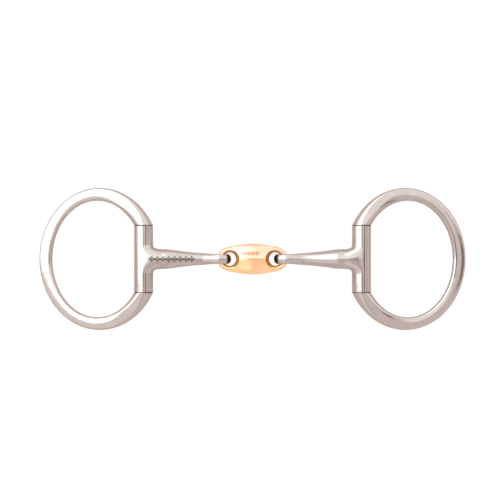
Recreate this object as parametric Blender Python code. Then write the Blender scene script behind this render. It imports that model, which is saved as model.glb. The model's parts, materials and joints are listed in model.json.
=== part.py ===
"""Eggbutt snaffle bit with flat rings and a double-jointed mouthpiece.

Two flat rings swing on hinge pins that run through the barrels of two steel
mouthpiece arms. Each arm ends in an eye that is linked through one hole of a
copper lozenge. Metres, +Z up: X runs along the mouthpiece, Y along the barrels,
and the origin lies on the resting surface under the middle of the lozenge.
"""

import math

import bmesh
import bpy
from mathutils import Matrix, Vector

# Mouthpiece arms
MOUTH_LENGTH = 0.127  # between the inner faces of the two barrels
BARREL_DIAMETER = 0.0121
BARREL_LENGTH = 0.0424
BUTT_DIAMETER = 0.0125  # the cannon beside the barrel
BUTT_LENGTH = 0.0110  # of the cannon before its taper starts
JUNCTION_FILLET = 0.0025  # between the cannon and the barrel
NECK_DIAMETER = 0.0074  # the cannon beside its eye
EYE_WIDTH = 0.0060  # along Y
EYE_TIP = 0.0046  # thickness of the eye's end bar, along X
EYE_STRAND = 0.0035  # thickness over and under the lozenge's rim, along Z

# Lozenge
LOZENGE_WIDTH = 0.0193
LOZENGE_THICKNESS = 0.0100
HOLE_SPACING = 0.0285  # between the two hole centres
HOLE_DIAMETER = 0.0088
RIM_WALL = 0.0037  # from the hole to the lozenge's end
RIM_THICKNESS = 0.0044  # along Z, where the eye goes round it

# Rings and hinge pins
RING_HEIGHT = 0.091  # along the barrel, outside
RING_REACH = 0.0673  # from the hinge axis to the far edge
BAR_WIDTH = 0.0082
BAR_THICKNESS = 0.0045
BAR_EDGE = 0.0022  # width of the rounded edge beside the flat
FLAT_SHARE = 0.66  # of the way from the far edge to a seam, where the bar starts to swell
PIN_DIAMETER = 0.0055
PIN_SEAT = 0.0040  # depth of the pin in each end of the ring
PIN_CHAMFER = 0.0004

# Clearances
PIN_CLEARANCE = 0.00035  # round the pin and past its ends
SEAM_GAP = 0.0004  # between a barrel's end and the ring
LINK_PLAY = 0.00070  # over and under the lozenge's rim, inside the eye
LINK_SLACK = 0.0009  # along the mouthpiece, inside the eye
LINK_GAP = 0.0004  # between the eye's end bar and the rim, with the bit drawn straight

# Mesh resolution
RING_STATIONS = 52
EDGE_POINTS = 9  # on each rounded edge of a ring's section
PIN_SIDES = 24
BARREL_SIDES = 8
CANNON_SIDES = 12
TAPER_STEPS = 3  # along the cannon
EYE_SIDES = 8  # round an eye, along its section and round a hole of the lozenge
RIM_SIDES = 6  # along the section of the lozenge's rim
SUBDIVISION_LEVELS = 2  # of the lozenge and the arms

STEEL = {"name": "polished_steel", "color": (0.60, 0.56, 0.54), "roughness": 0.18}
COPPER = {"name": "copper_alloy", "color": (0.90, 0.55, 0.31), "roughness": 0.22}

# Shape of the subdivision cages, as shares of the sizes above
HOLE_LIP_SHARE = 0.78  # height of a hole's lip on the lozenge's inner side
MIDDLE_GROWTH = 1.14  # the subdivided edge draws in from its cage
# Half a section across the lozenge's middle, from +Y to -Y, domed from side to side
MIDDLE_SECTION = ((0.78, 0.58), (0.39, 0.93), (0, 1.04), (-0.39, 0.93), (-0.78, 0.58))
INWARD_LIMIT = 0.5  # past this, a point round a hole faces the lozenge's middle
LEVEL_EDGE_GROWTH = 24 / 23  # a subdivided edge between two level corners draws in by this
JUNCTION_GROWTH = 1.12  # half length of the barrel's opening, to half the cannon's diameter
EYE_ROOT_GROWTH = 1.15  # where the taper ends, to the eye's half length
NECK_HEIGHT_SHARE = 1.10  # the neck is this much taller than wide, as the eye is tall

# Sizes that follow from those above
BARREL_RADIUS = BARREL_DIAMETER / 2
PIN_HOLE_RADIUS = PIN_DIAMETER / 2 + PIN_CLEARANCE
HOLE_RADIUS = HOLE_DIAMETER / 2
SEAM_Y = BARREL_LENGTH / 2 + SEAM_GAP
LINK_X = HOLE_SPACING / 2
HINGE_X = MOUTH_LENGTH / 2 + BARREL_RADIUS
ARM_SPAN = HINGE_X - LINK_X  # from the link axis to the hinge axis
# The rim is curved, so over the eye's width it is deeper than its wall.
RIM_SAG = HOLE_RADIUS - math.sqrt(HOLE_RADIUS**2 - (EYE_WIDTH / 2) ** 2)
EYE_HOLE_X = (RIM_WALL + LINK_SLACK + RIM_SAG) / 2
EYE_HOLE_Z = RIM_THICKNESS / 2 + LINK_PLAY
EYE_OUTER_X = EYE_HOLE_X + EYE_TIP
EYE_OUTER_Z = EYE_HOLE_Z + EYE_STRAND
EYE_X = HOLE_RADIUS - LINK_GAP + EYE_HOLE_X  # from the link axis to the eye's middle
AXIS_HEIGHT = max(EYE_OUTER_Z, BARREL_RADIUS, BUTT_DIAMETER / 2)
RING_DROOP = math.asin((AXIS_HEIGHT - BAR_THICKNESS / 2) / (RING_REACH - BAR_EDGE))


def spline_shrink(sides):
    """How much a subdivided cage with this many sides draws in from its corners."""
    return (2 + math.cos(2 * math.pi / sides)) / 3


def smoothstep(value):
    value = min(max(value, 0.0), 1.0)
    return value * value * (3 - 2 * value)


def mix(a, b, share):
    return a + (b - a) * share


def clear_scene():
    for old in list(bpy.data.objects):
        bpy.data.objects.remove(old, do_unlink=True)


def metal(settings):
    """A metallic Principled material, made once for each name."""
    found = bpy.data.materials.get(settings["name"])
    if found:
        return found
    material = bpy.data.materials.new(settings["name"])
    material.use_nodes = True
    shader = material.node_tree.nodes["Principled BSDF"]
    shader.inputs["Base Color"].default_value = (*settings["color"], 1)
    shader.inputs["Metallic"].default_value = 1
    shader.inputs["Roughness"].default_value = settings["roughness"]
    return material


def new_piece(name, bm, finish, parent=None, location=(0, 0, 0), side=1):
    """Makes the object. side -1 mirrors the mesh across its own YZ plane."""
    if side < 0:
        bmesh.ops.scale(bm, vec=(-1, 1, 1), verts=bm.verts)
        bmesh.ops.reverse_faces(bm, faces=bm.faces)
    mesh = bpy.data.meshes.new(name)
    bm.to_mesh(mesh)
    bm.free()
    mesh.shade_smooth()
    mesh.set_sharp_from_angle(angle=math.radians(40))
    mesh.materials.append(metal(finish))
    piece = bpy.data.objects.new(name, mesh)
    bpy.context.scene.collection.objects.link(piece)
    piece.parent = parent
    piece.location = location
    return piece


def add_subdivision(piece):
    subdivision = piece.modifiers.new("subdivision", "SUBSURF")
    subdivision.levels = SUBDIVISION_LEVELS
    subdivision.render_levels = SUBDIVISION_LEVELS
    subdivision.use_limit_surface = True


def add_loop(bm, points):
    return [bm.verts.new(point) for point in points]


def join_loops(bm, first, second):
    """A band of quads between two closed loops of the same length."""
    count = len(first)
    for i in range(count):
        j = (i + 1) % count
        bm.faces.new((first[i], first[j], second[j], second[i]))


def crease(bm, loop):
    """Keeps the edges of a closed loop sharp when the cage is subdivided."""
    layer = bm.edges.layers.float.get("crease_edge")
    if layer is None:
        layer = bm.edges.layers.float.new("crease_edge")
    for i, vert in enumerate(loop):
        bm.edges.get((vert, loop[(i + 1) % len(loop)]))[layer] = 1.0


# ---- Lozenge -------------------------------------------------------------------


def lozenge_end(bm, side):
    """One end of the lozenge: its hole and the surface round it.

    Returns the outer points of that surface from +Y over the inner side to -Y,
    on top and below, and the two points on the equator that meet the middle.
    """
    round_shrink, section_shrink = spline_shrink(EYE_SIDES), spline_shrink(RIM_SIDES)
    half_wall = RIM_WALL / 2 / section_shrink
    half_rim = RIM_THICKNESS / 2 * LEVEL_EDGE_GROWTH
    crest_inset = half_wall / 2
    hole_radius = (HOLE_RADIUS + RIM_WALL / 2 - half_wall) / round_shrink
    edge_radius = (HOLE_RADIUS + RIM_WALL / 2 + half_wall) / round_shrink
    half_height = LOZENGE_THICKNESS / 2
    turns = [2 * math.pi * i / EYE_SIDES for i in range(EYE_SIDES)]
    inward = [max(0.0, -math.cos(turn)) for turn in turns]  # 1 towards the middle

    def ring(radii, heights):
        made = []
        for turn, radius, z in zip(turns, radii, heights):
            x = side * (LINK_X + radius * math.cos(turn))
            made.append(bm.verts.new((x, radius * math.sin(turn), z)))
        return made

    crest_radii = [hole_radius + crest_inset] * EYE_SIDES
    crest_heights = [mix(half_rim, half_height * HOLE_LIP_SHARE, share) for share in inward]
    face_radii = [edge_radius - crest_inset * (1 - share) for share in inward]
    face_heights = [mix(half_rim, half_height, share) for share in inward]
    equator = ring([hole_radius] * EYE_SIDES, [0] * EYE_SIDES)
    outline = ring([edge_radius] * EYE_SIDES, [0] * EYE_SIDES)
    faces = {}
    for way in (1, -1):
        crest = ring(crest_radii, [way * z for z in crest_heights])
        face = ring(face_radii, [way * z for z in face_heights])
        join_loops(bm, equator, crest)
        join_loops(bm, crest, face)
        for i in range(EYE_SIDES):
            j = (i + 1) % EYE_SIDES
            if inward[i] < INWARD_LIMIT and inward[j] < INWARD_LIMIT:
                bm.faces.new((face[i], face[j], outline[j], outline[i]))
        faces[way] = face
    for point, share in zip(outline, inward):
        if share > INWARD_LIMIT:
            bm.verts.remove(point)  # inside the lozenge
    inner = range(EYE_SIDES // 4, EYE_SIDES * 3 // 4 + 1)
    tops, bottoms = ([faces[way][i] for i in inner] for way in (1, -1))
    return tops, bottoms, (outline[inner[0]], outline[inner[-1]])


def make_lozenge():
    bm = bmesh.new()
    half_width = LOZENGE_WIDTH / 2 * MIDDLE_GROWTH
    middles = []
    for way in (1, -1):
        half_height = way * LOZENGE_THICKNESS / 2
        points = [(0, half_width * y, half_height * z) for y, z in MIDDLE_SECTION]
        middles.append(add_loop(bm, points))
    edges = add_loop(bm, [(0, half_width, 0), (0, -half_width, 0)])
    for side in (1, -1):
        tops, bottoms, outline = lozenge_end(bm, side)
        for middle, end in zip(middles, (tops, bottoms)):
            for i in range(len(end) - 1):
                bm.faces.new((end[i], end[i + 1], middle[i + 1], middle[i]))
            for i in (0, -1):
                bm.faces.new((end[i], middle[i], edges[i], outline[i]))
    bmesh.ops.recalc_face_normals(bm, faces=bm.faces)
    lozenge = new_piece("copper_lozenge", bm, COPPER, location=(0, 0, AXIS_HEIGHT))
    add_subdivision(lozenge)
    return lozenge


# ---- Mouthpiece arms -----------------------------------------------------------


def barrel_cage(bm):
    """The barrel with its bore. Returns the open loop that the cannon grows from.

    The cage is open over half the barrel's round on the side of the cannon.
    """
    shrink = spline_shrink(BARREL_SIDES)
    outer_radius = BARREL_RADIUS / shrink
    bore_radius = PIN_HOLE_RADIUS / shrink
    mouth = BUTT_DIAMETER / 2 * JUNCTION_GROWTH
    end = BARREL_LENGTH / 2
    levels = (end, mouth + JUNCTION_FILLET, mouth, 0.0, -mouth, -mouth - JUNCTION_FILLET, -end)

    def round_loop(radius, y):
        turns = [2 * math.pi * k / BARREL_SIDES for k in range(BARREL_SIDES)]
        return [Vector((ARM_SPAN + radius * math.cos(a), y, radius * math.sin(a))) for a in turns]

    loops = [add_loop(bm, round_loop(outer_radius, y)) for y in levels]
    bores = [add_loop(bm, round_loop(bore_radius, y)) for y in (levels[0], levels[-1])]
    quarter = BARREL_SIDES // 4
    opening = range(quarter, 3 * quarter)  # from +Z over the cannon's side to -Z
    for row in range(len(levels) - 1):
        for k in range(BARREL_SIDES):
            if row in (2, 3) and k in opening:
                continue
            j = (k + 1) % BARREL_SIDES
            bm.faces.new((loops[row][k], loops[row][j], loops[row + 1][j], loops[row + 1][k]))
    join_loops(bm, bores[0], loops[0])
    join_loops(bm, loops[-1], bores[1])
    join_loops(bm, bores[1], bores[0])
    for loop in (loops[0], loops[-1], *bores):
        crease(bm, loop)
    for k in range(quarter + 1, 3 * quarter):
        bm.verts.remove(loops[3][k])
    upper, middle, lower = loops[2], loops[3], loops[4]
    over = [upper[k] for k in range(2 * quarter, quarter - 1, -1)]
    under = [lower[k] for k in range(quarter, 3 * quarter + 1)]
    back = [upper[k] for k in range(3 * quarter, 2 * quarter, -1)]
    return over + [middle[quarter]] + under + [middle[3 * quarter]] + back


def eye_cage(bm):
    """The eye, a flattened torus. Returns the open loop that the cannon runs into."""
    shrink = spline_shrink(EYE_SIDES)
    middle_x, middle_z = (EYE_OUTER_X + EYE_HOLE_X) / 2, (EYE_OUTER_Z + EYE_HOLE_Z) / 2
    tube_x, tube_z = (EYE_OUTER_X - EYE_HOLE_X) / 2, (EYE_OUTER_Z - EYE_HOLE_Z) / 2
    step = 2 * math.pi / EYE_SIDES
    quarter = EYE_SIDES // 4
    verts = {}
    for i in range(EYE_SIDES):
        for j in range(EYE_SIDES):
            if i == 0 and (j < quarter or j > 3 * quarter):
                continue  # inside the opening
            out = math.cos(j * step) / shrink
            x = (middle_x + tube_x * out) / shrink * math.cos(i * step)
            z = (middle_z + tube_z * out) / shrink * math.sin(i * step)
            y = EYE_WIDTH / 2 / shrink * math.sin(j * step)
            verts[i, j] = bm.verts.new((EYE_X + x, y, z))
    for i in range(EYE_SIDES):
        for j in range(EYE_SIDES):
            corners = [(i, j), (i, (j + 1) % EYE_SIDES)]
            corners += [((i + 1) % EYE_SIDES, b) for _, b in reversed(corners)]
            if all(corner in verts for corner in corners):
                bm.faces.new([verts[corner] for corner in corners])
    last = EYE_SIDES - 1
    rising = [verts[1, j % EYE_SIDES] for j in (2, 1, 0, -1, -2)]
    falling = [verts[last, j % EYE_SIDES] for j in (-2, -1, 0, 1, 2)]
    return [verts[0, quarter], *rising, verts[0, 3 * quarter], *falling]


def cannon_sections():
    """(distance from the link axis, half width, half height) from barrel to eye."""
    butt, neck = BUTT_DIAMETER / 2, NECK_DIAMETER / 2
    start = ARM_SPAN - BARREL_RADIUS
    taper_start = start - BUTT_LENGTH
    taper_end = EYE_X + EYE_OUTER_X * EYE_ROOT_GROWTH
    sections = [(mix(start, taper_start, 0.4), butt, butt)]
    for step in range(TAPER_STEPS + 1):
        share = step / TAPER_STEPS
        radius = mix(butt, neck, share)
        half_height = radius * mix(1, NECK_HEIGHT_SHARE, share)
        sections.append((mix(taper_start, taper_end, share), radius, half_height))
    return sections


def make_arm(name, side, lozenge):
    bm = bmesh.new()
    shrink = spline_shrink(CANNON_SIDES)
    previous = barrel_cage(bm)
    for x, half_width, half_height in cannon_sections():
        points = []
        for i in range(CANNON_SIDES):
            angle = 2 * math.pi * i / CANNON_SIDES
            y = half_width / shrink * math.cos(angle)
            points.append((x, y, half_height / shrink * math.sin(angle)))
        section = add_loop(bm, points)
        join_loops(bm, previous, section)
        previous = section
    join_loops(bm, previous, eye_cage(bm))
    bmesh.ops.recalc_face_normals(bm, faces=bm.faces)
    arm = new_piece(name, bm, STEEL, lozenge, (side * LINK_X, 0, 0), side)
    add_subdivision(arm)
    return arm


# ---- Rings and hinge pins ------------------------------------------------------


def ring_outline(half_height, far_x, near_x):
    """An ellipse that passes the far edge and meets the seam at near_x.

    Returns a function from -1 (lower seam) over 0 (far edge) to 1 (upper seam).
    """
    end = math.asin(SEAM_Y / half_height)
    half_width = (far_x - near_x) / (1 + math.cos(end))
    centre = far_x - half_width
    last = math.pi - end

    def point(along):
        angle = along * last
        x = centre + half_width * math.cos(angle)
        return Vector((x, half_height * math.sin(angle), 0))

    return point


def ring_sections():
    """Loops of points from the lower seam round the far edge to the upper seam."""
    outer = ring_outline(RING_HEIGHT / 2, RING_REACH, -BARREL_RADIUS)
    inner = ring_outline(RING_HEIGHT / 2 - BAR_WIDTH, RING_REACH - BAR_WIDTH, BARREL_RADIUS)
    crest = math.cos(math.pi / 2 / EDGE_POINTS)  # of the corners beside the flat
    loops = []
    for station in range(RING_STATIONS + 1):
        along = -1 + 2 * station / RING_STATIONS
        swell = smoothstep((abs(along) - FLAT_SHARE) / (1 - FLAT_SHARE))
        across = (outer(along) - inner(along)) / 2
        centre = (outer(along) + inner(along)) / 2
        edge = mix(BAR_EDGE, across.length, swell)
        rise = mix(BAR_THICKNESS / 2, BARREL_RADIUS, swell)
        loop = []
        for way in (1, -1):
            for k in range(EDGE_POINTS):
                angle = way * (math.pi / 2 - math.pi * (k + 0.5) / EDGE_POINTS)
                out = way * (across.length - edge + edge * math.cos(angle))
                height = rise * math.sin(angle) / crest
                loop.append(centre + out * across.normalized() + Vector((0, 0, height)))
        loops.append(loop)
    return loops


def pin_seat(seam_section, way):
    """The mouth and the floor of the blind hole that the pin sits in."""
    middle = Vector((0, way * SEAM_Y, 0))
    depth = Vector((0, way * (PIN_SEAT + PIN_CLEARANCE), 0))
    mouth = [middle + (p - middle).normalized() * PIN_HOLE_RADIUS for p in seam_section]
    return mouth, [point + depth for point in mouth]


def make_ring(name, side, arm):
    bm = bmesh.new()
    sections = ring_sections()
    low_mouth, low_floor = pin_seat(sections[0], -1)
    high_mouth, high_floor = pin_seat(sections[-1], 1)
    loops = [add_loop(bm, p) for p in (low_floor, low_mouth, *sections, high_mouth, high_floor)]
    for first, second in zip(loops, loops[1:]):
        join_loops(bm, first, second)
    bm.faces.new(loops[0])
    bm.faces.new(loops[-1])
    bmesh.ops.recalc_face_normals(bm, faces=bm.faces)
    ring = new_piece(name, bm, STEEL, arm, (side * ARM_SPAN, 0, 0), side)
    ring.rotation_euler.y = side * RING_DROOP
    return ring


def make_pin(name, ring):
    length = 2 * (SEAM_Y + PIN_SEAT)
    bm = bmesh.new()
    bmesh.ops.create_cone(
        bm,
        cap_ends=True,
        segments=PIN_SIDES,
        radius1=PIN_DIAMETER / 2,
        radius2=PIN_DIAMETER / 2,
        depth=length,
        matrix=Matrix.Rotation(math.pi / 2, 4, "X"),
    )
    rims = [edge for edge in bm.edges if edge.calc_face_angle(0) > math.radians(60)]
    bmesh.ops.bevel(bm, geom=rims, offset=PIN_CHAMFER, segments=1, profile=0.5, affect="EDGES")
    return new_piece(name, bm, STEEL, ring)


def main():
    clear_scene()
    lozenge = make_lozenge()
    for name, side in (("left", -1), ("right", 1)):
        arm = make_arm(f"{name}_mouthpiece_arm", side, lozenge)
        ring = make_ring(f"{name}_flat_ring", side, arm)
        make_pin(f"{name}_hinge_pin", ring)


main()
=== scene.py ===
import json
import math

import bmesh
import bpy
from mathutils import Matrix, Vector


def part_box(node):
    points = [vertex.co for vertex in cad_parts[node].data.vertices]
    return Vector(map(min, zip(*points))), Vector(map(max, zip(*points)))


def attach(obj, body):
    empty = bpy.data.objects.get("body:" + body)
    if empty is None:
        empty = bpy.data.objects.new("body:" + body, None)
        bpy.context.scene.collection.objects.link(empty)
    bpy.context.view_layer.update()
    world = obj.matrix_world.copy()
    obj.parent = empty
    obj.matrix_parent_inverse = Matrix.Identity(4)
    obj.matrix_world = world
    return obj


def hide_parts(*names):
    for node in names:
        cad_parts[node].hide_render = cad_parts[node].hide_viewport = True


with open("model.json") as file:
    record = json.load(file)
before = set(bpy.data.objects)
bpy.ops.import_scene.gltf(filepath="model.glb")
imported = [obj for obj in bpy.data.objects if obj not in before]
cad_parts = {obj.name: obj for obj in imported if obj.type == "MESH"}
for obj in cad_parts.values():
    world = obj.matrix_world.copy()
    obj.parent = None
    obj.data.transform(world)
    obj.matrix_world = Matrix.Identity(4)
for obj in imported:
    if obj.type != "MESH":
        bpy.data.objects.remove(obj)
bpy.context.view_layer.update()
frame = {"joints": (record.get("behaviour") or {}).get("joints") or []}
joints = {joint["name"]: joint for joint in frame["joints"]}
linkX = joints["right_arm_fold"]["pos_m"][0]  # from the lozenge's middle to a hole's centre
hingeX = joints["right_ring_swing"]["pos_m"][0]
axisHeight = joints["right_ring_swing"]["pos_m"][2]
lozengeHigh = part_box("copper_lozenge")[1]
armLow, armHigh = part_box("right_mouthpiece_arm")
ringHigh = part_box("right_flat_ring")[1]
pinLow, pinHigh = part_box("right_hinge_pin")
barrelRadius = armHigh.x - hingeX
barrelEnd = armHigh.y  # half the barrel's length
mm = 0.001
near = 0.01 * mm  # corners closer than this are one
tiny = 1e-6  # allows for rounding


def smoothStep(value):
    value = min(max(value, 0.0), 1.0)
    return value * value * (3 - 2 * value)


def blend(a, b, share):
    return a + (b - a) * share


def drawIn(sides):
    # how far a subdivided loop with this many corners draws in from them
    return (2 + math.cos(2 * math.pi / sides)) / 3


def growEdges(bm, edges, place):
    # extrudes a chain or loop of edges, then puts each new corner where place says
    made = bmesh.ops.extrude_edge_only(bm, edges=edges)["geom"]
    corners = {item for item in made if isinstance(item, bmesh.types.BMVert)}
    for corner in corners:
        corner.co = place(corner)
    return [item for item in made
            if isinstance(item, bmesh.types.BMEdge) and all(v in corners for v in item.verts)]


def openEdges(bm):
    return [edge for edge in bm.edges if edge.is_boundary]


def finishPiece(name, bm, material, body, replaced, smoothing=0, side=1):
    # side -1 turns the right-hand shape into the left-hand one
    if side < 0:
        bmesh.ops.scale(bm, vec=(-1, 1, 1), verts=bm.verts)
    bmesh.ops.recalc_face_normals(bm, faces=bm.faces)
    mesh = bpy.data.meshes.new(name)
    bm.to_mesh(mesh)
    bm.free()
    mesh.shade_smooth()
    mesh.materials.append(material)
    piece = bpy.data.objects.new(name, mesh)
    bpy.context.scene.collection.objects.link(piece)
    if smoothing:
        subdivision = piece.modifiers.new("Subdivision", "SUBSURF")
        subdivision.levels = smoothing
        subdivision.render_levels = smoothing
        subdivision.use_limit_surface = True
        # the smoothed mesh is kept, so that the piece has its final size from here on
        smoothed = piece.evaluated_get(bpy.context.evaluated_depsgraph_get())
        piece.data = bpy.data.meshes.new_from_object(smoothed)
        piece.modifiers.clear()
    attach(piece, body)
    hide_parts(replaced)
    return piece


class Wire:
    # a node's output that can be used in sums
    def __init__(self, sheet, socket):
        self.sheet = sheet
        self.socket = socket

    def __add__(self, other):
        return self.sheet.math("ADD", self, other)

    def __sub__(self, other):
        return self.sheet.math("SUBTRACT", self, other)

    def __rsub__(self, other):
        return self.sheet.math("SUBTRACT", other, self)

    def __mul__(self, other):
        return self.sheet.math("MULTIPLY", self, other)

    def __truediv__(self, other):
        return self.sheet.math("DIVIDE", self, other)

    def __abs__(self):
        return self.sheet.math("ABSOLUTE", self)

    __radd__ = __add__
    __rmul__ = __mul__

    def rise(self, low, high):
        # 0 below low, 1 above high, smooth between them
        return self.sheet.node("ShaderNodeMapRange", {"interpolation_type": "SMOOTHSTEP"},
                               {"Value": self, "From Min": low, "From Max": high})


class NodeSheet:
    def __init__(self, tree):
        self.tree = tree
        tree.nodes.clear()

    def node(self, kind, settings=None, inputs=None, output=0):
        made = self.tree.nodes.new(kind)
        for name, value in (settings or {}).items():
            setattr(made, name, value)
        for name, value in (inputs or {}).items():
            if isinstance(value, Wire):
                self.tree.links.new(value.socket, made.inputs[name])
            else:
                made.inputs[name].default_value = value
        return Wire(self, made.outputs[output]) if made.outputs else made

    def math(self, operation, *values):
        return self.node("ShaderNodeMath", {"operation": operation}, dict(enumerate(values)))

    def split(self, vector):
        made = self.node("ShaderNodeSeparateXYZ", inputs={"Vector": vector})
        return [Wire(self, socket) for socket in made.socket.node.outputs]

    def mixColor(self, first, second, share):
        # a Mix node's colours are its sockets 6 and 7, and the mixed one is its output 2
        wires = {6: first, 7: second, 0: share}
        return self.node("ShaderNodeMix", {"data_type": "RGBA"}, wires, output=2)

    def noise(self, vector, scale, detail=3.0):
        return self.node("ShaderNodeTexNoise", inputs={
            "Vector": vector, "Scale": scale, "Detail": detail})

    def placed(self, vector, rotation, scale):
        # turned first, then divided by the scale
        return self.node("ShaderNodeMapping", {"vector_type": "TEXTURE"}, {
            "Vector": vector, "Rotation": rotation, "Scale": scale})


def rgba(color, level=1.0):
    return (color[0] * level, color[1] * level, color[2] * level, 1.0)


def startFinish(name):
    # a new material, its sheet, and the place on the piece
    material = bpy.data.materials.new(name)
    material.use_nodes = True
    sheet = NodeSheet(material.node_tree)
    return material, sheet, sheet.node("ShaderNodeTexCoord", output="Object")


def hairlines(sheet, coords, scratches):
    # fine straight scratches: over 0 on a scratch, 0 beside it
    masks = []
    for turn, length, width, share in scratches:
        needles = sheet.placed(coords, turn, (length, width, width))
        noise = sheet.noise(needles, 1.0, detail=1.0)
        masks.append(noise.rise(1 - share, 1 - share + 0.05))
    return sum(masks[1:], masks[0])


def endFinish(sheet, material, color, roughness, height, metallic=1.0):
    bump = sheet.node("ShaderNodeBump", inputs={"Strength": 0.3, "Distance": 1.0, "Height": height})
    shader = sheet.node("ShaderNodeBsdfPrincipled", inputs={
        "Base Color": color, "Metallic": metallic, "Roughness": roughness, "Normal": bump})
    sheet.node("ShaderNodeOutputMaterial", inputs={"Surface": shader})
    return material


steelLook = {
    "color": (0.455, 0.43, 0.415),
    "worn": (0.485, 0.46, 0.445),  # where it is handled most
    "grime": (0.11, 0.085, 0.08),  # painted shade in the seams
    "rubbed": (0.03, 0.022, 0.02),  # painted shade: the eyes' end bars, painted near black where they sit in the lozenge's holes
    "etched": (0.055, 0.04, 0.036),
    "roughness": 0.085,
    "smudge": 0.05,  # how much rougher finger marks are
    "hairline": 0.07,  # how much rougher the fine scratches are
    "scratchDepth": 0.0015 * mm,
    "waveHeight": 0.09 * mm,  # the slow waves that polishing by hand leaves
    "waveScale": 210.0,
    "cloudScale": 140.0,
    "smudgeScale": 55.0,
    "dirtReach": (0.2 * mm, 0.75 * mm),  # from a seam's middle
    "dirtSide": (1.05, 1.2),  # of the barrel's radius
    "dirtRough": 0.25,
    "rubbedReach": (1.4 * mm, 2.6 * mm),  # from the middle of the lozenge's hole
    "rubbedRough": 0.12,
    "etchedRough": 0.3,
    "etchedDepth": 0.012 * mm,
    # each set of scratches: its turn, the scratches' length and width, and how much they cover
    "scratches": [
        ((0.3, 0.2, 0.35), 9 * mm, 0.12 * mm, 0.32),
        ((0.1, 0.5, -1.1), 6 * mm, 0.10 * mm, 0.31),
        ((0.7, 0.1, 1.6), 12 * mm, 0.14 * mm, 0.32),
    ],
}


def makeSteel(name, etchedRow=None):
    look = steelLook
    material, sheet, coords = startFinish(name)
    x, y, z = sheet.split(coords)
    smudges = sheet.noise(coords, look["smudgeScale"], detail=4.0).rise(0.42, 0.68)
    clouds = sheet.noise(coords, look["cloudScale"])
    lines = hairlines(sheet, coords, look["scratches"])
    # painted shade: a dark line beside each seam of the barrels
    besideSeam = 1 - abs(abs(y) - barrelEnd - ringBar["seamGap"] / 2).rise(*look["dirtReach"])
    nearHinge = 1 - abs(abs(x) - hingeX).rise(*(barrelRadius * share for share in look["dirtSide"]))
    seamShadeMask = besideSeam * nearHinge * (0.6 + 0.4 * clouds.rise(0.35, 0.7))
    # painted shade: the eyes' end bars inside the lozenge's holes are darkened to near black
    rubbed = 1 - abs(x).rise(*(linkX + reach for reach in look["rubbedReach"]))
    color = sheet.mixColor(rgba(look["color"]), rgba(look["worn"]), clouds.rise(0.4, 0.75))
    color = sheet.mixColor(color, rgba(look["grime"]), seamShadeMask * 0.85)
    color = sheet.mixColor(color, rgba(look["rubbed"]), rubbed * 0.95)
    roughness = (look["roughness"] + look["smudge"] * smudges + look["hairline"] * lines
                 + look["dirtRough"] * seamShadeMask + look["rubbedRough"] * rubbed)
    waves = sheet.noise(coords, look["waveScale"], detail=0.0)
    height = waves * look["waveHeight"] - lines * look["scratchDepth"]
    if etchedRow:
        etched = etchedDiamonds(sheet, x, y, z, etchedRow)
        color = sheet.mixColor(color, rgba(look["etched"]), etched * 0.9)
        roughness = roughness + look["etchedRough"] * etched
        height = height - etched * look["etchedDepth"]
    return endFinish(sheet, material, color, roughness, height)


armRow = {
    "start": -65.6 * mm,  # along X
    "middle": 0.0,  # along Y
    "count": 8,
    "pitch": 3.6 * mm,
    "height": 4.2 * mm,
    "line": 0.8 * mm,
}
lozengeRow = {
    "start": -6.7 * mm,
    "middle": 3.6 * mm,
    "count": 4,
    "pitch": 2.75 * mm,
    "height": 3.2 * mm,
    "line": 0.62 * mm,
}


def etchedDiamonds(sheet, x, y, z, row):
    # a row of open diamonds with a dot in each and a dot between them, on the upper side
    slope = 1.25  # makes a diamond narrower than its cell
    soft = 0.1 * mm  # of its edges
    along = (x - row["start"]) / row["pitch"]
    inRow = along.rise(-0.01, 0.0) * (1 - along.rise(row["count"], row["count"] + 0.01))
    cell = abs(sheet.math("FRACT", along) - 0.5)
    across = abs(y - row["middle"])
    half = row["height"] / 2
    inside = half - row["line"]
    reach = cell * (row["pitch"] * slope) + across
    outline = (1 - reach.rise(half - soft, half)) * reach.rise(inside - soft, inside)
    dot = 1 - reach.rise(row["line"], row["line"] + soft)
    between = (0.5 - cell) * row["pitch"] + across
    smallDot = 1 - between.rise(row["line"], row["line"] + soft)
    marks = sheet.math("MAXIMUM", sheet.math("MAXIMUM", outline, dot), smallDot)
    return marks * inRow * z.rise(axisHeight, axisHeight + 1 * mm)


copperLook = {
    "color": (0.98, 0.665, 0.375),
    "warm": (0.98, 0.635, 0.34),
    "pale": (0.98, 0.54, 0.415),  # painted reflection: the upper side's paler tint, as where it mirrors the bright light
    "wall": (0.52, 0.205, 0.025),  # inside the holes, near their mouths
    "throat": (0.27, 0.095, 0.012),  # darker towards the hole's middle
    "etched": (0.36, 0.12, 0.06),
    "stain": (0.80, 0.37, 0.17),  # round the etched row
    "roughness": 0.13,
    "wallRough": 0.16,
    "etchedRough": 0.2,
    "cloudScale": 110.0,
    "scratchDepth": 0.0015 * mm,
    "cloudDepth": 0.0045 * mm,
    "etchedDepth": 0.009 * mm,
    "tarnish": 0.85,  # how far it takes the metal's own gloss away inside the holes
    "mouthReach": (-0.45 * mm, -0.1 * mm),  # from a hole's mouth, where the tarnish ends
    "throatReach": (3.8 * mm, 4.7 * mm),  # from a hole's middle
    "haloReach": (5.6 * mm, 7.2 * mm),
    "polishedAcross": (-0.5 * mm, 1.5 * mm),  # along Y
    "polishedUp": (0.8 * mm, 2.4 * mm),  # over the lozenge's middle plane
    "stainAlong": (0.85, 1.15),  # of half the row's length
    "stainAcross": (0.3, 0.65),  # of the row's height
    "scratches": [
        ((0.2, 0.1, 0.5), 7 * mm, 0.11 * mm, 0.31),
        ((0.4, 0.3, -0.6), 5 * mm, 0.10 * mm, 0.31),
    ],
}


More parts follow.
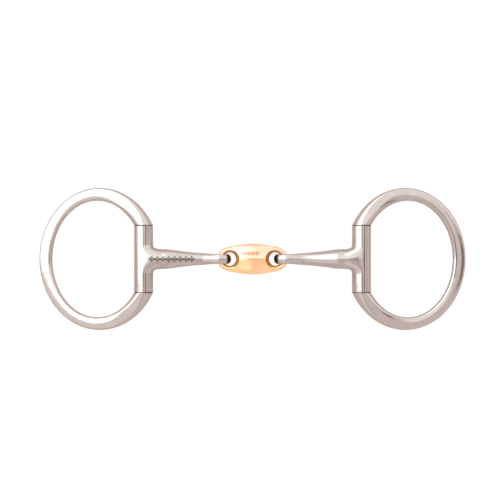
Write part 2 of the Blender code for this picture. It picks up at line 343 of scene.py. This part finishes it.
def makeCopper(name, etchedRow):
    look = copperLook
    material, sheet, coords = startFinish(name)
    x, y, z = sheet.split(coords)
    clouds = sheet.noise(coords, look["cloudScale"], detail=4.0)
    lines = hairlines(sheet, coords, look["scratches"])
    # each hole's wall keeps a brown tarnish that the arm's eye doesn't rub off
    fromHole = abs(x) - linkX
    radius = sheet.math("SQRT", fromHole * fromHole + y * y)
    inHole = 1 - radius.rise(*(lozenge["mouthRadius"] + reach for reach in look["mouthReach"]))
    deep = 1 - radius.rise(*look["throatReach"])
    halo = (1 - radius.rise(*look["haloReach"])) * clouds.rise(0.3, 0.7)
    color = sheet.mixColor(rgba(look["color"]), rgba(look["warm"]), clouds.rise(0.35, 0.7))
    # painted reflection: the upper side and the dome's top are tinted paler, as where they mirror
    # the bright light
    litSide = (y.rise(*look["polishedAcross"])
                * z.rise(*(axisHeight + height for height in look["polishedUp"])))
    color = sheet.mixColor(color, rgba(look["pale"]), litSide * 0.9)
    color = sheet.mixColor(color, rgba(look["wall"]), halo * 0.12)
    wall = sheet.mixColor(rgba(look["wall"]), rgba(look["throat"]), deep)
    color = sheet.mixColor(color, wall, inHole * 0.95)
    etched = etchedDiamonds(sheet, x, y, z, etchedRow)
    rowHalf = etchedRow["count"] * etchedRow["pitch"] / 2
    fromRow = abs(x - etchedRow["start"] - rowHalf) / rowHalf
    fromMiddle = abs(y - etchedRow["middle"]) / etchedRow["height"]
    stain = ((1 - fromRow.rise(*look["stainAlong"])) * (1 - fromMiddle.rise(*look["stainAcross"]))
             * clouds.rise(0.3, 0.6) * z.rise(axisHeight, axisHeight + 1 * mm))
    color = sheet.mixColor(color, rgba(look["stain"]), stain * 0.55)
    color = sheet.mixColor(color, rgba(look["etched"]), etched * 0.85)
    roughness = (look["roughness"] + 0.05 * clouds.rise(0.4, 0.7) + 0.06 * lines
                 + look["wallRough"] * inHole + look["etchedRough"] * etched)
    height = (clouds * look["cloudDepth"] - lines * look["scratchDepth"]
              - etched * look["etchedDepth"])
    return endFinish(sheet, material, color, roughness, height, 1 - look["tarnish"] * inHole)


lozenge = {
    "holeRadius": 4.35 * mm,  # at the throat, beside and outside the arm's eye
    "innerThroat": 3.55 * mm,  # at the throat, towards the middle
    "mouthRadius": 5.85 * mm,  # where the wall meets the dome
    "rimThickness": 4.4 * mm,
    "waist": 0.35 * mm,  # how much less the rim's wall is beside a hole than at its end
    # the cage's rows from the throat to the outline: the swing round the rim in degrees, and on
    # the inner side the share of the way to the mouth, how far past it, and the share of its height
    "rows": [
        (0, 0, 0, 0),
        (32, 0.33, 0, 0.33),
        (58, 0.66, 0, 0.66),
        (78, 1, -0.12 * mm, 0.9),
        (92, 1, 0, 0.985),
        (108, 1, 0.35 * mm, None),
        (143, 1, 1.7 * mm, None),
        (180, 1, 3 * mm, None),
    ],
    "innerShare": 1.15,  # how soon the rim turns into the inner wall, going round the hole
    "bulge": 1.8,  # of the sides and the top, from a hole to the middle
    "leastDome": 0.02,  # keeps the dome from dropping to nothing past the outline
    "sides": 16,
    "rimSides": 12,  # the cage's corners round the rim's section
    "domeSides": 20,  # and round the lozenge's section
    "middleSteps": 4,
    "smoothing": 3,
}


def domeHeight(x, y):
    # height of the lozenge's top above its middle plane
    a, b, c = lozengeHigh.x, lozengeHigh.y, lozengeHigh.z - axisHeight
    left = 1 - (x / a) ** 2 - (y / b) ** 2
    return c * math.sqrt(max(left, lozenge["leastDome"]))


def rimPlace(turn, row):
    # a corner of the cage round a hole, from the throat, row 0, out over the rim
    look = lozenge
    swing, wallShare, pastMouth, heightShare = look["rows"][row]
    rimDraw, domeDraw = drawIn(look["rimSides"]), drawIn(look["domeSides"])
    inward = smoothStep(-math.cos(turn) * look["innerShare"])
    beside = math.sin(turn) ** 2
    wall = lozengeHigh.x - linkX - look["holeRadius"] - look["waist"] * beside
    middle = look["holeRadius"] + wall / 2
    roundOut = middle - wall / 2 / rimDraw * math.cos(math.radians(swing))
    roundUp = look["rimThickness"] / 2 / rimDraw * math.sin(math.radians(swing))
    mouth = look["mouthRadius"]
    wallOut = blend(look["innerThroat"], mouth, wallShare) + pastMouth
    out = blend(roundOut, wallOut, inward) / drawIn(look["sides"])
    x, y = out * math.cos(turn), out * math.sin(turn)
    if heightShare is None:
        up = domeHeight(linkX + x, y) / domeDraw
    else:
        mouthTop = domeHeight(linkX + mouth * math.cos(turn), mouth * math.sin(turn)) / domeDraw
        up = mouthTop * heightShare
    return Vector((linkX + x, y, blend(roundUp, up, inward)))


def makeLozenge(material):
    look = lozenge
    sides = look["sides"]
    bm = bmesh.new()
    corner = bm.verts.layers.int.new("corner")
    bmesh.ops.create_circle(bm, segments=sides, radius=look["holeRadius"],
                            matrix=Matrix.Translation((linkX, 0, 0)))
    step = 2 * math.pi / sides
    for vert in bm.verts:
        vert[corner] = round(math.atan2(vert.co.y, vert.co.x - linkX) / step) % sides
        vert.co = rimPlace(vert[corner] * step, 0)
    edges = list(bm.edges)
    outlineRow = len(look["rows"]) - 1
    for row in range(1, outlineRow):
        edges = growEdges(bm, edges, lambda vert: rimPlace(vert[corner] * step, row))
    # the outer half goes on down to the outline
    outward = [edge for edge in edges
               if sum(math.cos(v[corner] * step) for v in edge.verts) > tiny]
    growEdges(bm, outward, lambda vert: rimPlace(vert[corner] * step, outlineRow))
    # the inner half, with the two outline corners, is drawn to the middle of the lozenge
    quarter = sides // 4
    inward = [edge for edge in openEdges(bm)
              if all(v.co.x < linkX + tiny for v in edge.verts)
              and all(v.co.z > tiny or abs(v.co.y) > look["mouthRadius"] for v in edge.verts)]
    chain = {vert for edge in inward for vert in edge.verts}
    last = 2 * quarter + 2
    for vert in chain:
        if vert.co.z < tiny:
            vert[corner] = 0 if vert.co.y > 0 else last
        else:
            vert[corner] = vert[corner] - quarter + 1
    starts = {vert[corner]: vert.co.copy() for vert in chain}
    drawn = drawIn(2 * last)

    def towardsMiddle(share):
        bulged = 1 - (1 - share) ** look["bulge"]

        def place(vert):
            turn = math.pi * vert[corner] / last
            start = starts[vert[corner]]
            end = Vector((0, lozengeHigh.y / drawn * math.cos(turn),
                          (lozengeHigh.z - axisHeight) / drawn * math.sin(turn)))
            return Vector((blend(start.x, end.x, share), blend(start.y, end.y, bulged),
                           blend(start.z, end.z, bulged)))
        return place

    for number in range(1, look["middleSteps"] + 1):
        inward = growEdges(bm, inward, towardsMiddle(number / look["middleSteps"]))
    for axis in ("Z", "X"):
        bmesh.ops.mirror(bm, geom=bm.verts[:] + bm.edges[:] + bm.faces[:],
                         merge_dist=near, axis=axis)
    bmesh.ops.remove_doubles(bm, verts=bm.verts, dist=near)
    bmesh.ops.translate(bm, verts=bm.verts, vec=(0, 0, axisHeight))
    return finishPiece("copperLozenge", bm, material, "lozenge", "copper_lozenge",
                       look["smoothing"])


arm = {
    "boreRadius": 3.1 * mm,
    "endRound": 0.2 * mm,  # of the barrel's end edges
    "buttDiameter": 12.5 * mm,
    "buttLength": 9.5 * mm,
    "mouthShare": 1.12,  # of the butt, how wide the barrel opens for it
    "fillet": 2.5 * mm,
    "buttRows": (0.4, 0.75),  # along the butt, the rows that keep it straight
    "neckDiameter": 7.35 * mm,
    "neckHeightShare": 1.10,
    "taperBow": 1.45,  # over 1, the taper runs a little hollow
    "taperEnd": 1.15,  # of the eye's reach from the middle of its hole
    "eyeWidth": 6.3 * mm,
    "eyeTip": 4.6 * mm,  # of the end bar, along the mouthpiece
    "eyeStrand": 3.5 * mm,  # over and under the lozenge's rim
    "holeRadius": 4.4 * mm,  # of the lozenge's hole
    "eyePlay": 0.85 * mm,  # between the eye and the rim it holds
    "barrelSides": 12,
    "eyeSteps": 8,
    "taperSteps": 5,
    "smoothing": 3,
}


def onBarrel(across, along):
    # puts a corner on a circle round the hinge's axis
    def place(vert):
        fromAxis = Vector((vert.co.x - hingeX, 0, vert.co.z)).normalized() * across
        return Vector((hingeX, along, 0)) + fromAxis
    return place


def makeBarrel(bm):
    # the barrel, with half of its round open where the cannon grows from it
    look = arm
    radius = barrelRadius / drawIn(look["barrelSides"])
    bore = look["boreRadius"] / drawIn(look["barrelSides"])
    mouth = look["buttDiameter"] / 2 * look["mouthShare"]
    end, edge = barrelEnd, look["endRound"]
    stops = [(bore, end), (radius - edge, end), (radius, end), (radius, end - edge),
             (radius, end - 3 * edge), (radius, mouth + 3 * look["fillet"]),
             (radius, mouth + look["fillet"]), (radius, mouth), (radius, 0)]
    stops += [(across, -along) for across, along in reversed(stops[:-1])]
    bmesh.ops.create_circle(bm, segments=look["barrelSides"], radius=bore,
                            matrix=Matrix.Translation((hingeX, end, 0))
                            @ Matrix.Rotation(math.pi / 2, 4, "X"))
    edges = first = list(bm.edges)
    for across, along in stops[1:]:
        edges = growEdges(bm, edges, onBarrel(across, along))
    bmesh.ops.bridge_loops(bm, edges=first + edges)
    opening = []
    for face in bm.faces:
        fromAxis = face.calc_center_median().xz - Vector((hingeX, 0))
        onOutside = fromAxis.length > (bore + radius) / 2
        if onOutside and fromAxis.x < 0 and all(abs(v.co.y) < mouth + near for v in face.verts):
            opening.append(face)
    bmesh.ops.delete(bm, geom=opening, context="FACES")


def cannonSections(eyeX, eyeOuterX):
    # (place along X, half width, half height) from the barrel to the eye
    look = arm
    butt, neck = look["buttDiameter"] / 2, look["neckDiameter"] / 2
    start = hingeX - barrelRadius
    taperStart = start - look["buttLength"]
    taperEnd = eyeX + eyeOuterX * look["taperEnd"]
    sections = [(blend(start, taperStart, share), butt, butt) for share in look["buttRows"]]
    for number in range(look["taperSteps"] + 1):
        share = number / look["taperSteps"]
        radius = blend(butt, neck, 1 - (1 - share) ** look["taperBow"])
        sections.append((blend(taperStart, taperEnd, share), radius,
                         radius * blend(1, look["neckHeightShare"], share)))
    return sections


def makeEye(bm, eyeX, holeX, outerX, holeZ, outerZ):
    # a plain torus that is flattened, and opened towards the cannon
    look = arm
    plainRadius = 3
    steps, sections = look["eyeSteps"], look["barrelSides"]
    before = set(bm.verts)
    circle = bmesh.ops.create_circle(bm, segments=sections, radius=1.0,
                                     matrix=Matrix.Translation((plainRadius, 0, 0)))["verts"]
    ring = {edge for vert in circle for edge in vert.link_edges}
    bmesh.ops.spin(bm, geom=list(circle) + list(ring), cent=(0, 0, 0), axis=(0, 1, 0),
                   angle=2 * math.pi, steps=steps, use_merge=True)
    torus = [vert for vert in bm.verts if vert not in before]
    around, tube = drawIn(steps), drawIn(sections)
    for vert in torus:
        turn = math.atan2(vert.co.z, vert.co.x)
        out = (math.hypot(vert.co.x, vert.co.z) - plainRadius) / tube
        x = ((outerX + holeX) / 2 + (outerX - holeX) / 2 * out) / around * math.cos(turn)
        z = ((outerZ + holeZ) / 2 + (outerZ - holeZ) / 2 * out) / around * math.sin(turn)
        vert.co = Vector((eyeX + x, look["eyeWidth"] / 2 / tube * vert.co.y, z))
    # the opening is one step wide to either side, from the middle of the bar outwards
    step = 2 * math.pi / steps
    openX = eyeX + (outerX + holeX) / 2 / around * math.cos(step)
    openZ = (outerZ + (outerZ - holeZ) * 0.1) / around * math.sin(step)
    mine = {face for vert in torus for face in vert.link_faces}
    opening = [face for face in mine
               if all(v.co.x > openX - near and abs(v.co.z) < openZ * 1.01 for v in face.verts)]
    bmesh.ops.delete(bm, geom=opening, context="FACES")


def makeArm(sideName, side, material):
    look = arm
    rim = lozengeHigh.x - linkX - lozenge["holeRadius"]
    # the eye's flat-sided end bar sits this far from the round hole's wall
    sag = look["holeRadius"] - math.sqrt(look["holeRadius"] ** 2 - (look["eyeWidth"] / 2) ** 2)
    outerZ = armHigh.z - axisHeight
    holeX = (rim + look["eyePlay"] + sag) / 2
    outerX = holeX + look["eyeTip"]
    eyeX = armLow.x + outerX
    bm = bmesh.new()
    corner = bm.verts.layers.int.new("corner")
    makeBarrel(bm)
    edges = openEdges(bm)
    sides = len(edges)
    order = sorted({vert for edge in edges for vert in edge.verts},
                   key=lambda vert: math.atan2(vert.co.z, vert.co.y) % (2 * math.pi - 1e-4))
    for number, vert in enumerate(order):
        vert[corner] = number

    def onCannon(x, halfWidth, halfHeight):
        def place(vert):
            turn = 2 * math.pi * vert[corner] / sides
            return Vector((x, halfWidth / drawIn(sides) * math.cos(turn),
                           halfHeight / drawIn(sides) * math.sin(turn)))
        return place

    for section in cannonSections(eyeX, outerX):
        edges = growEdges(bm, edges, onCannon(*section))
    makeEye(bm, eyeX, holeX, outerX, outerZ - look["eyeStrand"], outerZ)
    bmesh.ops.bridge_loops(bm, edges=openEdges(bm))
    bmesh.ops.translate(bm, verts=bm.verts, vec=(0, 0, axisHeight))
    return finishPiece(f"{sideName}MouthpieceArm", bm, material, f"{sideName}_arm",
                       f"{sideName}_mouthpiece_arm", look["smoothing"], side)


ringBar = {
    "width": 8.2 * mm,
    "thickness": 4.5 * mm,
    "edge": 1.6 * mm,  # width of the rounded edge beside the flat
    "reach": 67.28 * mm,  # from the hinge to the far edge
    "flatShare": 0.5,  # of the way to a seam, where the bar starts to swell
    "swellPower": 2.6,
    "seamGap": 0.14 * mm,
    "seamRound": 0.2 * mm,
    "seatRadius": 3.1 * mm,
    "seatChamfer": 0.2 * mm,
    "seatDepth": 4.35 * mm,
    "sectionSides": 36,
    "stations": 220,
}


def ringOutline(halfHeight, farX, nearX):
    # an ellipse that passes the far edge and meets the seams at nearX, from -1 over 0 to 1
    seamY = barrelEnd + ringBar["seamGap"]
    end = math.asin(seamY / halfHeight)
    halfWidth = (farX - nearX) / (1 + math.cos(end))
    centre = farX - halfWidth

    def point(along):
        turn = along * (math.pi - end)
        return Vector((centre + halfWidth * math.cos(turn), halfHeight * math.sin(turn), 0))
    return point


def towards(middle, radius, depth):
    # puts a corner on a circle round the seam's middle
    def place(vert):
        flat = Vector((vert.co.x - middle.x, 0, vert.co.z - middle.z)).normalized() * radius
        return middle + flat + Vector((0, depth, 0))
    return place


def makeRing(sideName, side, material):
    look = ringBar
    stations, sides = look["stations"], look["sectionSides"]
    outer = ringOutline(ringHigh.y, look["reach"], -barrelRadius)
    inner = ringOutline(ringHigh.y - look["width"], look["reach"] - look["width"], barrelRadius)
    crest = math.cos(math.pi / sides)
    # the bar starts as part of a plain torus
    plainRadius, sweep = 5, math.radians(300)
    bm = bmesh.new()
    bmesh.ops.create_circle(bm, segments=sides, radius=1.0,
                            matrix=Matrix.Translation((plainRadius, 0, 0))
                            @ Matrix.Rotation(math.pi / 2, 4, "X")
                            @ Matrix.Rotation(math.pi / sides, 4, "Z"))
    bmesh.ops.rotate(bm, verts=bm.verts, cent=(0, 0, 0), matrix=Matrix.Rotation(-sweep / 2, 3, "Z"))
    bmesh.ops.spin(bm, geom=bm.verts[:] + bm.edges[:], cent=(0, 0, 0), axis=(0, 0, 1),
                   angle=sweep, steps=stations)
    for vert in bm.verts:
        along = math.atan2(vert.co.y, vert.co.x) / (sweep / 2)
        out, up = math.hypot(vert.co.x, vert.co.y) - plainRadius, vert.co.z
        pastFlat = max(abs(along) - look["flatShare"], 0.0) / (1 - look["flatShare"])
        swell = min(pastFlat, 1.0) ** look["swellPower"]
        across = (outer(along) - inner(along)) / 2
        centre = (outer(along) + inner(along)) / 2
        edge = blend(look["edge"], across.length, swell)
        rise = blend(look["thickness"] / 2, barrelRadius, swell)
        reach = math.copysign(across.length - edge, out) + edge * out
        vert.co = centre + reach * across.normalized() + Vector((0, 0, rise * up / crest))
    seamY = barrelEnd + look["seamGap"]
    for way in (1, -1):
        edges = [edge for edge in openEdges(bm)
                 if all(abs(v.co.y * way - seamY) < near for v in edge.verts)]
        middle = Vector((0, way * seamY, 0))
        seamRound, chamfer = look["seamRound"], look["seatChamfer"]
        # the seam's edge is eased first, then the end face closes on the pin's seat
        for vert in {v for edge in edges for v in edge.verts}:
            vert.co.y += way * seamRound
        for turn in (30, 60, 90):
            inset = seamRound * (1 - math.cos(math.radians(turn)))
            drop = seamRound * (1 - math.sin(math.radians(turn)))
            edges = growEdges(bm, edges, towards(middle, barrelRadius - inset, way * drop))
        for radius, depth in ((look["seatRadius"] + chamfer, 0), (look["seatRadius"], chamfer),
                              (look["seatRadius"], look["seatDepth"])):
            edges = growEdges(bm, edges, towards(middle, radius, way * depth))
        bmesh.ops.holes_fill(bm, edges=edges, sides=0)
    droop = math.asin((axisHeight - look["thickness"] / 2) / (look["reach"] - look["edge"]))
    bmesh.ops.rotate(bm, verts=bm.verts, cent=(0, 0, 0), matrix=Matrix.Rotation(droop, 3, "Y"))
    bmesh.ops.translate(bm, verts=bm.verts, vec=(hingeX, 0, axisHeight))
    return finishPiece(f"{sideName}FlatRing", bm, material, f"{sideName}_ring",
                       f"{sideName}_flat_ring", side=side)


pin = {"sides": 48, "chamfer": 0.4 * mm}


def makePin(sideName, side, material):
    bm = bmesh.new()
    radius = (pinHigh.z - pinLow.z) / 2
    bmesh.ops.create_cone(bm, cap_ends=True, segments=pin["sides"], radius1=radius, radius2=radius,
                          depth=pinHigh.y - pinLow.y, matrix=Matrix.Rotation(math.pi / 2, 4, "X"))
    rims = [edge for edge in bm.edges if edge.calc_face_angle(0) > math.radians(60)]
    bmesh.ops.bevel(bm, geom=rims, offset=pin["chamfer"], segments=3, profile=0.5,
                    affect="EDGES", material=-1)
    bmesh.ops.translate(bm, verts=bm.verts, vec=(hingeX, 0, axisHeight))
    return finishPiece(f"{sideName}HingePin", bm, material, f"{sideName}_ring",
                       f"{sideName}_hinge_pin", side=side)


studio = {
    "room": (0.98, 0.83, 0.775),  # the room's own light
    "floorSeen": 0.97,
    "floorShade": 0.045,  # how much shadow the pale floor shows
    "floorTone": (0.66, 0.585, 0.555),  # what the metal sees of the floor
    "floorRadius": 6.0,
    "floorDrop": 0.1 * mm,  # under the rings
    "cameraPlace": (-0.96 * mm, 5.1 * mm, 0.706),
    "lens": 78.6,
    "sensor": 36.0,
}

# What the metal mirrors, in degrees from straight overhead: (left, right, lower, upper),
# how soft each of those edges is, and the light's colour. Later ones cover earlier ones.
panels = [
    ((12, 130, -130, 130), (8, 10, 40, 40), (1.13, 0.96, 0.935)),  # side wall
    ((-90, 16, 0.3, 130), (10, 7, 3, 40), (1.45, 1.36, 1.32)),  # back wall
    ((-80, 17.5, 1.0, 60), (10, 7, 3, 45), (1.74, 1.67, 1.61)),  # light on the back wall
    ((10, 85, 8, 130), (8, 30, 5, 40), (1.58, 1.48, 1.42)),  # its far end
    ((-78, -3, -60, 0), (10, 8, 30, 1.5), (1.34, 1.19, 1.16)),  # pale cloth below the softbox
    ((-66, -5.6, -2.8, 60), (8, 6, 3.5, 30), (3.0, 3.0, 3.0)),  # softbox
    ((-7, 9, -2.2, 1.6), (2, 3, 1.4, 1.4), (0.42, 0.34, 0.33)),  # the camera, on its arm
    ((24, 36, -6, 4), (3, 3, 2, 2), (0.36, 0.29, 0.28)),  # the studio's stands
    ((58, 66, -9, 7), (4, 4, 2, 2), (0.52, 0.43, 0.42)),
]


def buildStudio():
    world = bpy.data.worlds.new("studio")
    bpy.context.scene.world = world
    world.use_nodes = True
    sheet = NodeSheet(world.node_tree)
    direction = sheet.node("ShaderNodeTexCoord", output="Generated")
    x, y, z = sheet.split(direction)
    toSide = sheet.math("ARCTAN2", x, z) * math.degrees(1)
    toBack = sheet.math("ARCTAN2", y, z) * math.degrees(1)
    color = rgba(studio["room"])
    for (left, right, lower, upper), soft, light in panels:
        leftSoft, rightSoft, lowerSoft, upperSoft = (value / 2 for value in soft)
        mask = (toSide.rise(left - leftSoft, left + leftSoft)
                * (1 - toSide.rise(right - rightSoft, right + rightSoft))
                * toBack.rise(lower - lowerSoft, lower + lowerSoft)
                * (1 - toBack.rise(upper - upperSoft, upper + upperSoft)))
        color = sheet.mixColor(color, rgba(light), mask)
    seen = sheet.node("ShaderNodeLightPath", output="Is Camera Ray")
    color = sheet.mixColor(color, (1, 1, 1, 1), seen)
    light = sheet.node("ShaderNodeBackground", inputs={"Color": color, "Strength": 1.0})
    sheet.node("ShaderNodeOutputWorld", inputs={"Surface": light})


def buildFloor():
    bm = bmesh.new()
    bmesh.ops.create_circle(bm, cap_ends=True, segments=64, radius=studio["floorRadius"],
                            matrix=Matrix.Translation((0, 0, -studio["floorDrop"])))
    mesh = bpy.data.meshes.new("floor")
    bm.to_mesh(mesh)
    bm.free()
    floor = bpy.data.objects.new("floor", mesh)
    bpy.context.scene.collection.objects.link(floor)
    material = bpy.data.materials.new("paleFloor")
    material.use_nodes = True
    sheet = NodeSheet(material.node_tree)
    seen = sheet.node("ShaderNodeLightPath", output="Is Camera Ray")
    tone = sheet.mixColor(rgba(studio["floorTone"]), rgba((1, 1, 1), studio["floorShade"]), seen)
    matt = sheet.node("ShaderNodeBsdfDiffuse", inputs={"Color": tone})
    glow = sheet.node("ShaderNodeEmission", inputs={
        "Color": (1, 1, 1, 1), "Strength": seen * studio["floorSeen"]})
    both = sheet.node("ShaderNodeAddShader", inputs={0: matt, 1: glow})
    sheet.node("ShaderNodeOutputMaterial", inputs={"Surface": both})
    mesh.materials.append(material)


def buildCamera():
    lens = bpy.data.cameras.new("camera")
    lens.lens = studio["lens"]
    lens.sensor_width = studio["sensor"]
    lens.clip_start = 0.01
    camera = bpy.data.objects.new("camera", lens)
    camera.location = studio["cameraPlace"]
    bpy.context.scene.collection.objects.link(camera)
    bpy.context.scene.camera = camera


buildStudio()
buildFloor()
buildCamera()
bpy.context.scene.view_settings.view_transform = "Standard"
print("studio ready")

copper = makeCopper("copperAlloy", lozengeRow)
steel = makeSteel("polishedSteel")
etchedSteel = makeSteel("etchedSteel", armRow)
print("finishes ready")

makeLozenge(copper)
print("lozenge made")
for sideName, side, armSteel in (("left", -1, etchedSteel), ("right", 1, steel)):
    makeArm(sideName, side, armSteel)
    makeRing(sideName, side, steel)
    makePin(sideName, side, steel)
    print(sideName, "side made")
